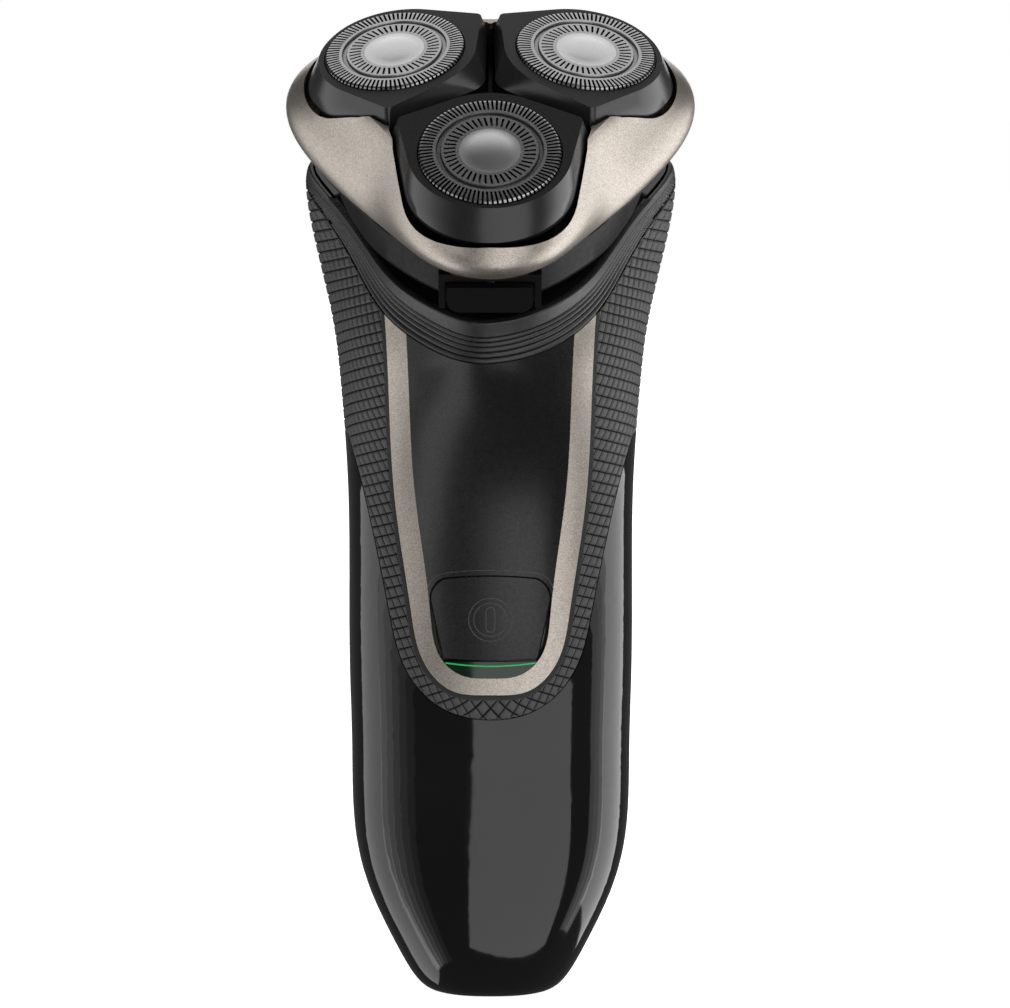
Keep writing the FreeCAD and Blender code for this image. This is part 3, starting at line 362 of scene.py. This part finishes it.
def pod_plastic():
    """Black plastic with a matt top round the guard and a smoother bevel below it."""
    surface = Surface("pod_black", grey(0.013), 0.3)
    top = surface.facing(HEAD_AXIS)
    surface.tint(surface.noise(0.7 * MM), grey(0.01), grey(0.014))
    surface.follow("Roughness", top, 0.27, 0.55)
    surface.follow("Specular IOR Level", top, 0.5, 0.2)
    surface.relief(surface.noise(0.1 * MM), 0.004 * MM)
    return surface.made


def slotted_steel():
    """Steel with painted shade that turns it black in the slots, where little light gets in."""
    surface = Surface("guard_steel", grey(0.34), 0.28, 1.0)
    surface.tint(surface.noise(0.4 * MM, 3.0), grey(0.28), grey(0.36))
    # painted shade: the colour goes dark in the slots and hollows by ambient occlusion
    surface.paint_hollow_shade(0.7 * MM)
    surface.vary("Roughness", surface.noise(0.16 * MM), 0.25, 0.33)
    surface.relief(surface.noise(0.08 * MM), 0.002 * MM)
    return surface.made


def inner_plastic():
    """Dull black plastic that takes almost no light: black of its own, made darker still as painted shade
    for the gaps inside the head's mouth.
    """
    # partly painted shade: the base colour is darker than the outer black plastics
    surface = Surface("inner_black", grey(0.004), 0.5)
    surface.tint(surface.noise(2.0 * MM), grey(0.003), grey(0.005))
    surface.shader.inputs["Specular IOR Level"].default_value = 0.16
    surface.vary("Roughness", surface.noise(0.9 * MM), 0.4, 0.52)
    surface.relief(surface.noise(0.3 * MM), 0.004 * MM)
    return surface.made


def lit_green():
    """Green plastic with light behind it."""
    surface = Surface("lens_line", (0.02, 0.25, 0.08), 0.3)
    surface.shader.inputs["Emission Color"].default_value = (0.02, 0.42, 0.1, 1.0)
    surface.shader.inputs["Emission Strength"].default_value = 0.5
    surface.vary("Roughness", surface.noise(0.5 * MM), 0.2, 0.4)
    return surface.made


def make_plastics():
    """Name, dark and light colour, roughness range, grain size and relief depth of each plain plastic."""
    rows = (
        ("gloss_black", grey(0.004), grey(0.006), (0.05, 0.08), 3 * MM, 0.002 * MM),
        ("satin_black", grey(0.009), grey(0.012), (0.24, 0.3), 0.2 * MM, 0.002 * MM),
        ("gear_nylon", (0.6, 0.58, 0.52), (0.68, 0.66, 0.6), (0.4, 0.5), 0.2 * MM, 0.004 * MM),
        ("board", (0.01, 0.1, 0.04), (0.015, 0.14, 0.06), (0.25, 0.35), 0.5 * MM, 0.01 * MM),
        ("battery_wrap", (0.03, 0.12, 0.3), (0.04, 0.15, 0.36), (0.2, 0.3), 1 * MM, 0.01 * MM),
        ("lens_green", (0.002, 0.012, 0.005), (0.003, 0.018, 0.007), (0.08, 0.12), 1 * MM, 0.002 * MM),
        ("seal_grey", grey(0.05), grey(0.07), (0.5, 0.6), 0.3 * MM, 0.006 * MM),
        ("mark_grey", grey(0.045), grey(0.06), (0.35, 0.45), 0.2 * MM, 0.002 * MM),
    )
    return {row[0]: moulded(*row) for row in rows}


def make_metals():
    """The same six values for each plain metal."""
    rows = (
        ("cap_satin", grey(0.46), grey(0.52), (0.3, 0.36), 0.06 * MM, 0.003 * MM),
        ("blade_steel", grey(0.12), grey(0.18), (0.3, 0.45), 0.1 * MM, 0.002 * MM),
        ("motor_steel", grey(0.5), grey(0.6), (0.25, 0.4), 0.4 * MM, 0.003 * MM),
        ("spring_steel", grey(0.55), grey(0.7), (0.15, 0.25), 0.2 * MM, 0.001 * MM),
        ("brass", (0.6, 0.43, 0.17), (0.75, 0.56, 0.26), (0.2, 0.35), 0.2 * MM, 0.002 * MM),
    )
    return {row[0]: metal(*row) for row in rows}


def make_materials():
    """All materials by their slot names."""
    return {
        **make_plastics(),
        **make_metals(),
        "grip_rubber": grip_rubber(),
        "collar_rubber": collar_rubber(),
        "bronze": bronze_paint(),
        "pod_black": pod_plastic(),
        "inner_black": inner_plastic(),
        "guard_steel": slotted_steel(),
        "lens_line": lit_green(),
    }


# ---- CAD nodes ----------------------------------------------------------------------------------
def shading_group():
    """Node group that drops stored normals and shades a CAD mesh smooth, apart from its real edges."""
    group = bpy.data.node_groups.new("smooth_by_angle", "GeometryNodeTree")
    group.interface.new_socket("Geometry", in_out="INPUT", socket_type="NodeSocketGeometry")
    group.interface.new_socket("Geometry", in_out="OUTPUT", socket_type="NodeSocketGeometry")
    source = group.nodes.new("NodeGroupInput")
    target = group.nodes.new("NodeGroupOutput")
    weld = group.nodes.new("GeometryNodeMergeByDistance")
    weld.inputs["Distance"].default_value = WELD_DISTANCE
    faces = group.nodes.new("GeometryNodeSetShadeSmooth")
    edges = group.nodes.new("GeometryNodeSetShadeSmooth")
    edges.domain = "EDGE"
    edges.inputs["Shade Smooth"].default_value = False
    angle = group.nodes.new("GeometryNodeInputMeshEdgeAngle")
    sharp = group.nodes.new("FunctionNodeCompare")
    sharp.data_type = "FLOAT"
    sharp.operation = "GREATER_THAN"
    sharp.inputs[1].default_value = CRISP_ANGLE
    bare = group.nodes.new("GeometryNodeRemoveAttribute")
    bare.inputs["Name"].default_value = "custom_normal"
    group.links.new(source.outputs[0], bare.inputs["Geometry"])
    group.links.new(bare.outputs["Geometry"], weld.inputs["Geometry"])
    group.links.new(weld.outputs["Geometry"], faces.inputs["Geometry"])
    group.links.new(faces.outputs["Geometry"], edges.inputs["Geometry"])
    group.links.new(angle.outputs["Unsigned Angle"], sharp.inputs[0])
    group.links.new(sharp.outputs[0], edges.inputs["Selection"])
    group.links.new(edges.outputs["Geometry"], target.inputs[0])
    return group


def paint_nodes(frame, materials):
    """Gives every CAD node the material of its slot, and smooth shading."""
    group = shading_group()
    slots = {row["node"]: row["material_slot"] for row in frame["record"]["subparts"]}
    for name, node in frame["nodes"].items():
        if not node.material_slots:
            node.data.materials.append(None)
        for slot in node.material_slots:
            slot.material = materials[slots[name]]
        modifier = node.modifiers.new("smooth", "NODES")
        modifier.node_group = group


# ---- pieces laid on the handle's skin -----------------------------------------------------------
class Skin:
    """Casts rays at the handle's outside from all round and says what they reach."""

    NODES = (
        "front_shell",
        "rear_shell",
        "front_panel",
        "trim_band",
        "grip_overmould",
        "ribbed_collar",
        "indicator_lens",
        "power_button",
    )
    START = 80.0 * MM  # rays start this far from the handle's axis
    NEAR_SIDE = 4.0 * MM  # what they reach counts only this far out, on the side they came from

    def __init__(self, frame):
        points = []
        faces = []
        self.owner = []
        for name in self.NODES:
            mesh = frame["nodes"][name].data
            first = len(points)
            points += [vertex.co.copy() for vertex in mesh.vertices]
            for polygon in mesh.polygons:
                faces.append([first + index for index in polygon.vertices])
                self.owner.append(name)
        self.tree = BVHTree.FromPolygons(points, faces)

    def reach(self, angle, height):
        """Point, outward normal and node at this angle round the handle's axis, at this height."""
        outward = Vector((math.sin(angle), -math.cos(angle), 0.0))
        start = outward * self.START + Vector((0.0, 0.0, height))
        point, normal, face, _ = self.tree.ray_cast(start, -outward)
        if point is None or point.dot(outward) < self.NEAR_SIDE:
            return None, None, None
        if normal.dot(outward) < 0:
            normal = -normal
        return point, normal, self.owner[face]


def stepped_angles(skin, height, front_step, back_step):
    """Angles round the handle that divide its outline at this height into steps of these lengths."""
    samples = 4000
    angles = [0.0]
    last = 0.0
    before = skin.reach(0.0, height)[0]
    arc = 0.0
    for i in range(1, samples):
        angle = 2 * math.pi * i / samples
        point = skin.reach(angle, height)[0]
        arc += (point - before).length
        before = point
        step = front_step if point.y < 0 else back_step
        if arc - last >= step:
            angles.append(angle)
            last = arc
    return angles


class Patch:
    """The part of the skin that belongs to one node, as a fine grid cut exactly at the node's edge."""

    BISECTIONS = 12

    def __init__(self, skin, node, angles, heights):
        # index is keyed by column and row, cuts by the grid line they lie on; border names the node
        # beyond each cut
        self.skin = skin
        self.node = node
        self.angles = angles
        self.heights = heights
        self.points = []
        self.normals = []
        self.border = {}
        self.index = {}
        self.cuts = {}
        self.faces = []
        for row, height in enumerate(heights):
            for column, angle in enumerate(angles):
                point, normal, owner = skin.reach(angle, height)
                if owner == node:
                    self.index[column, row] = self.add(point, normal)
        for row in range(len(heights) - 1):
            for column in range(len(angles)):
                self.cell(column, row)

    def add(self, point, normal):
        """Stores a point and returns its number."""
        self.points.append(point)
        self.normals.append(normal)
        return len(self.points) - 1

    def cell(self, column, row):
        """Adds the part of one grid cell that lies inside the node's edge."""
        right = (column + 1) % len(self.angles)
        corners = [(column, row), (right, row), (right, row + 1), (column, row + 1)]
        inside = [corner in self.index for corner in corners]
        if not any(inside):
            return
        loop = []
        for i in range(4):
            here, after = corners[i], corners[(i + 1) % 4]
            if inside[i]:
                loop.append(self.index[here])
            if inside[i] != inside[(i + 1) % 4]:
                loop.append(self.cut(here, after))
        if len(loop) > 2:
            self.faces.append(loop)

    def cut(self, here, after):
        """Point where the node's edge crosses a grid line, found by halving."""
        key = (min(here, after), max(here, after))
        if key in self.cuts:
            return self.cuts[key]
        kept, lost = (here, after) if here in self.index else (after, here)
        a0, z0 = self.angles[kept[0]], self.heights[kept[1]]
        turn = (self.angles[lost[0]] - a0 + math.pi) % (2 * math.pi) - math.pi
        rise = self.heights[lost[1]] - z0
        low, high = 0.0, 1.0
        best = self.points[self.index[kept]], self.normals[self.index[kept]]
        beyond = None
        for _ in range(self.BISECTIONS):
            middle = (low + high) / 2
            point, normal, owner = self.skin.reach(a0 + turn * middle, z0 + rise * middle)
            if owner == self.node:
                low = middle
                best = point, normal
            else:
                high = middle
                beyond = owner
        self.cuts[key] = self.add(*best)
        self.border[self.cuts[key]] = beyond
        return self.cuts[key]

    def edge_distances(self, neighbour=None):
        """Distance of every point to the patch's edge, or to its edge against one neighbour."""
        chosen = [i for i, beyond in self.border.items() if neighbour in (None, beyond)]
        tree = KDTree(len(chosen))
        for index in chosen:
            tree.insert(self.points[index], index)
        tree.balance()
        return [tree.find(point)[2] for point in self.points]


def ease(value):
    """Smooth step from 0 to 1."""
    value = min(1.0, max(0.0, value))
    return value * value * (3 - 2 * value)


def groove(count, share):
    """1 on a line, where count is whole, and 0 on the land; share is the line's part of the pitch."""
    offset = abs(count - round(count)) * 2
    return 1.0 - ease(offset / share)


def edge_sides(faces):
    """Sides of the faces that only one face has, in that face's direction."""
    sides = {}
    for loop in faces:
        for i in range(len(loop)):
            edge = (loop[i - 1], loop[i])
            if (edge[1], edge[0]) in sides:
                del sides[edge[1], edge[0]]
            else:
                sides[edge] = True
    return sides


def solid_piece(name, patch, depths, carried, thickness, material):
    """Closed mesh from a patch: its surface sunk by depths, an inner side, and walls at its edge.

    carried holds the named numbers of every point that the material reads."""
    count = len(patch.points)
    outer = [p - n * d for p, n, d in zip(patch.points, patch.normals, depths)]
    inner = []
    for point in patch.points:
        outward = Vector((point.x, point.y, 0.0)).normalized()
        inner.append(point - outward * thickness)
    faces = list(patch.faces)
    faces += [[count + index for index in reversed(loop)] for loop in patch.faces]
    faces += [[b, a, count + a, count + b] for a, b in edge_sides(patch.faces)]
    mesh = bpy.data.meshes.new(name)
    mesh.from_pydata(outer + inner, [], faces)
    mesh.materials.append(material)
    mesh.polygons.foreach_set("use_smooth", [True] * len(mesh.polygons))
    for label, values in carried.items():
        attribute = mesh.attributes.new(label, "FLOAT", "POINT")
        attribute.data.foreach_set("value", values + values)
    piece = bpy.data.objects.new(name, mesh)
    bpy.context.scene.collection.objects.link(piece)
    return piece


def arc_from_front(point):
    """Rough length in millimetres round the handle from the middle of its front."""
    angle = math.atan2(abs(point.x), -point.y)
    return 23.0 * angle + 2.0 * math.sin(2 * angle)


def grip_counts(point):
    """Rows and slants counted up to a point: diamonds at the bottom of the U that stretch up its sides."""
    arc = arc_from_front(point)
    height = point.z / MM - GRIP_CENTRE
    pitch = ROW_PITCH - ROW_PITCH_DROP * ease(arc / ROW_PITCH_ARC)
    rows = height / pitch + ROW_SLOPE * arc + ROW_BEND * math.erf(arc / ROW_BEND_ARC)
    slants = SLANT_RISE * height - SLANT_SLOPE * arc + SLANT_BEND * math.erf(arc / SLANT_BEND_ARC)
    return rows, slants


def build_grip(skin, materials):
    """Textured rubber grip, with a smooth channel beside the trim band and a seam at its edge."""
    steps = round((GRIP_HIGH - GRIP_LOW) / GRIP_ROW)
    heights = [GRIP_LOW + GRIP_ROW * step for step in range(steps + 1)]
    angles = stepped_angles(skin, GRIP_WAIST, GRIP_FRONT_COLUMN, GRIP_BACK_COLUMN)
    patch = Patch(skin, "grip_overmould", angles, heights)
    depths = []
    carried = {"rows": [], "slants": [], "lined": [], "seam": []}
    for point, edge, trim in zip(patch.points, patch.edge_distances(), patch.edge_distances("trim_band")):
        past_border = ease((trim - GRIP_BORDER) / GRIP_BLEND)
        lined = past_border * ease((edge - GRIP_SEAM) / GRIP_BLEND)
        seam = 1.0 - ease(edge / GRIP_SEAM)
        channel = 1.0 - past_border
        rows, slants = grip_counts(point)
        line = lined * max(groove(rows, GRIP_GROOVE_SHARE), 0.8 * groove(slants, GRIP_GROOVE_SHARE))
        sunk = max(GRIP_SEAM_DEPTH * seam, GRIP_CHANNEL_DEPTH * channel)
        depths.append(sunk + GRIP_GROOVE_DEPTH * line)
        carried["rows"].append(rows)
        carried["slants"].append(slants)
        carried["lined"].append(lined)
        # how much painted shade the material puts in the seam, and at 0.55 in the channel beside the trim
        # band
        carried["seam"].append(max(seam, 0.55 * channel))
    piece = solid_piece("textured_grip", patch, depths, carried, GRIP_THICKNESS, materials["grip_rubber"])
    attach(piece, "handle")
    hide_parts("grip_overmould")


def build_collar(skin, materials):
    """Rubber collar with ribs that fan out between its lower edge and the head's mouth."""
    steps = round((COLLAR_HIGH - COLLAR_LOW) / COLLAR_ROW)
    heights = [COLLAR_LOW + COLLAR_ROW * step for step in range(steps + 1)]
    angles = stepped_angles(skin, COLLAR_WAIST, COLLAR_COLUMN, COLLAR_COLUMN)
    patch = Patch(skin, "ribbed_collar", angles, heights)
    depths = []
    carried = {"rows": [], "lined": []}
    for point, edge in zip(patch.points, patch.edge_distances()):
        below = (point - COLLAR_POINT).dot(COLLAR_AXIS)
        above = MOUTH_LEVEL - (point - HEAD_ORIGIN).dot(HEAD_AXIS)
        rows = below / (below + above) / COLLAR_RIB_SHARE
        lined = 1.0 if round(rows) <= COLLAR_RIBS else 0.0
        seam = 1.0 - ease(edge / COLLAR_SEAM)
        line = lined * groove(rows, COLLAR_GROOVE_SHARE)
        depths.append(COLLAR_SEAM_DEPTH * seam + COLLAR_GROOVE_DEPTH * line)
        carried["rows"].append(rows)
        carried["lined"].append(lined)
    material = materials["collar_rubber"]
    piece = solid_piece("grooved_collar", patch, depths, carried, COLLAR_THICKNESS, material)
    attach(piece, "handle")
    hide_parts("ribbed_collar")


# ---- thin lines on the front --------------------------------------------------------------------
def on_front(skin, across, height):
    """Point on the handle's front at this distance across and this height."""
    start = Vector((across, -Skin.START, height))
    return skin.tree.ray_cast(start, Vector((0.0, 1.0, 0.0)))[0]


def wire_piece(name, points, radius, closed, material, body):
    """A thin raised line along these points, as a round wire half sunk in the surface."""
    curve = bpy.data.curves.new(name, "CURVE")
    curve.dimensions = "3D"
    curve.bevel_depth = radius
    curve.bevel_resolution = 3
    curve.use_fill_caps = True
    curve.materials.append(material)
    spline = curve.splines.new("POLY")
    spline.points.add(len(points) - 1)
    for stop, point in zip(spline.points, points):
        stop.co = (*point, 1.0)
    spline.use_cyclic_u = closed
    piece = bpy.data.objects.new(name, curve)
    bpy.context.scene.collection.objects.link(piece)
    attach(piece, body)


def build_mark(skin, materials):
    """Ring-and-bar mark on the power button."""
    for number, radius in enumerate(MARK_RINGS):
        ring = []
        for step in range(RING_STEPS):
            angle = 2 * math.pi * step / RING_STEPS
            ring.append(on_front(skin, radius * math.sin(angle), MARK_HEIGHT + radius * math.cos(angle)))
        name = f"button_ring_{number}"
        wire_piece(name, ring, MARK_WIRE, True, materials["mark_grey"], "power_button")
    half_width, half_height = MARK_BAR
    bar = []
    for end in (1, -1):
        for step in range(END_STEPS + 1):
            angle = math.pi * step / END_STEPS
            across = end * half_width * math.cos(angle)
            height = end * (half_height - half_width + half_width * math.sin(angle))
            bar.append(on_front(skin, across, MARK_HEIGHT + height))
    wire_piece("button_bar", bar, MARK_WIRE, True, materials["mark_grey"], "power_button")


def smooth_line(points, steps):
    """Points of a smooth curve through these, by Catmull-Rom spans."""
    padded = [points[0]] + points + [points[-1]]
    result = []
    for i in range(1, len(padded) - 2):
        p0, p1, p2, p3 = (Vector(p) for p in padded[i - 1 : i + 3])
        for step in range(steps):
            t = step / steps
            bend = (p2 - p0) * t + (2 * p0 - 5 * p1 + 4 * p2 - p3) * t * t
            bend += (3 * p1 - p0 - 3 * p2 + p3) * t * t * t
            result.append(tuple(p1 + bend * 0.5))
    return result + [points[-1]]


def front_curve(skin, side, middle):
    """Smooth curve on the front through the points of one side, the middle and the side's mirror."""
    mirrored = [(-across, height) for across, height in reversed(side)]
    line = smooth_line([*side, middle, *mirrored], SPAN_STEPS)
    return [on_front(skin, across * MM, height * MM) for across, height in line]


def build_lines(skin, materials):
    """Arched line over the button and the lit line under it."""
    points = front_curve(skin, ARCH_SIDE, ARCH_TOP)
    wire_piece("panel_arch_line", points, ARCH_WIRE, False, materials["mark_grey"], "handle")
    points = front_curve(skin, LIT_SIDE, LIT_MIDDLE)
    wire_piece("lit_line", points, LIT_WIRE, False, materials["lens_line"], "handle")


# ---- studio -------------------------------------------------------------------------------------
def area_light(name, azimuth, elevation, distance, width, height, power):
    """Softbox round the object: azimuth 0 is the camera's side, 90 is the object's right as seen."""
    data = bpy.data.lights.new(name, "AREA")
    data.shape = "RECTANGLE"
    data.size = width
    data.size_y = height
    data.energy = power
    light = bpy.data.objects.new(name, data)
    a, e = math.radians(azimuth), math.radians(elevation)
    toward = Vector((math.sin(a) * math.cos(e), -math.cos(a) * math.cos(e), math.sin(e)))
    light.location = LIGHT_TARGET + toward * distance
    light.rotation_euler = toward.to_track_quat("Z", "Y").to_euler()
    bpy.context.scene.collection.objects.link(light)
    return light


def fading_strips(name, azimuth, step, width, height, powers):
    """Narrow softboxes side by side, each with its own power: together a softbox with a soft edge."""
    for number, power in enumerate(powers):
        turned = azimuth + step * number
        area_light(f"{name}_{number}", turned, STRIP_ELEVATION, STRIP_DISTANCE, width, height, power)


def share_light(light, pieces, state):
    """Lets a light reach only these pieces (INCLUDE), or all but them (EXCLUDE)."""
    chosen = bpy.data.collections.new(light.name + "_pieces")
    for piece in pieces:
        chosen.objects.link(piece)
    for entry in chosen.collection_objects:
        entry.light_linking.link_state = state
    light.light_linking.receiver_collection = chosen


def build_studio(frame):
    """Soft lights all round, with their own softboxes for the satin front, and a dim world."""
    satin = [frame["nodes"][name] for name in ("front_panel", "power_button")]
    # azimuth and elevation in degrees, distance, width and height in metres, power in watts
    key = area_light("key_softbox", 21.0, -20.0, 0.9, 0.9, 1.3, 5.6)
    share_light(key, satin, "EXCLUDE")
    panel_key = area_light("panel_softbox", 12.0, -2.0, 0.9, 0.4, 0.45, 0.8)
    share_light(panel_key, satin, "INCLUDE")
    panel_left = area_light("panel_left", -32.0, -30.0, 0.9, 0.35, 0.9, 1.2)
    share_light(panel_left, satin, "INCLUDE")
    area_light("left_strip", -103.0, -22.0, 0.9, 0.6, 1.4, 4.0)
    fading_strips("left_fade", -80.5, 8.0, 0.126, 1.4, (0.68, 0.5, 0.31, 0.17, 0.08))
    area_light("left_fill", -44.0, 12.0, 0.95, 0.35, 0.7, 1.0)
    area_light("right_strip", 110.0, -12.0, 0.9, 0.69, 0.95, 5.2)
    fading_strips("right_fade", 86.0, -6.0, 0.094, 0.85, (0.36, 0.24, 0.19))
    area_light("top_softbox", 178.0, 60.0, 0.9, 0.95, 0.75, 2.5)
    area_light("upper_front", 38.0, 36.0, 1.0, 0.9, 0.6, 3.6)
    area_light("back_softbox", 180.0, 20.0, 1.2, 0.8, 1.0, 4.0)
    world = bpy.data.worlds.new("studio")
    world.use_nodes = True
    background = world.node_tree.nodes["Background"]
    background.inputs["Color"].default_value = (1.0, 1.0, 1.0, 1.0)
    background.inputs["Strength"].default_value = WORLD_STRENGTH
    bpy.context.scene.world = world


def stage_object(name, mesh, glow):
    """Floor or backdrop in plain white that the shaver's gloss doesn't mirror."""
    surface = Surface(name, grey(0.9), 0.9)
    surface.vary("Roughness", surface.noise(50 * MM), 0.85, 0.95)
    surface.shader.inputs["Emission Color"].default_value = (1.0, 1.0, 1.0, 1.0)
    surface.shader.inputs["Emission Strength"].default_value = glow
    mesh.materials.append(surface.made)
    item = bpy.data.objects.new(name, mesh)
    item.visible_glossy = False
    item.visible_diffuse = False
    item.visible_shadow = False
    bpy.context.scene.collection.objects.link(item)


def build_stage():
    """Pale floor and a dome round it."""
    floor = bpy.data.meshes.new("floor")
    work = bmesh.new()
    bmesh.ops.create_circle(work, cap_ends=True, radius=STAGE_RADIUS, segments=96)
    work.to_mesh(floor)
    work.free()
    stage_object("floor", floor, FLOOR_GLOW)
    dome = bpy.data.meshes.new("backdrop")
    work = bmesh.new()
    bmesh.ops.create_uvsphere(work, u_segments=64, v_segments=32, radius=STAGE_RADIUS)
    work.to_mesh(dome)
    work.free()
    stage_object("backdrop", dome, BACKDROP_GLOW)


def build_camera():
    """Long lens in front of the shaver and a little above it, looking slightly down."""
    data = bpy.data.cameras.new("camera")
    data.sensor_width = SENSOR_WIDTH
    data.lens = FOCAL_PIXELS / IMAGE_WIDTH * SENSOR_WIDTH
    data.clip_end = CAMERA_REACH
    camera = bpy.data.objects.new("camera", data)
    camera.location = CAMERA_PLACE
    camera.rotation_euler = (math.radians(90.0) - CAMERA_DROP, 0.0, 0.0)
    bpy.context.scene.collection.objects.link(camera)
    bpy.context.scene.camera = camera


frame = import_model()
build_camera()
build_studio(frame)
build_stage()
materials = make_materials()
paint_nodes(frame, materials)
skin = Skin(frame)
build_grip(skin, materials)
build_collar(skin, materials)
build_mark(skin, materials)
build_lines(skin, materials)
bpy.context.scene.view_settings.view_transform = "Standard"
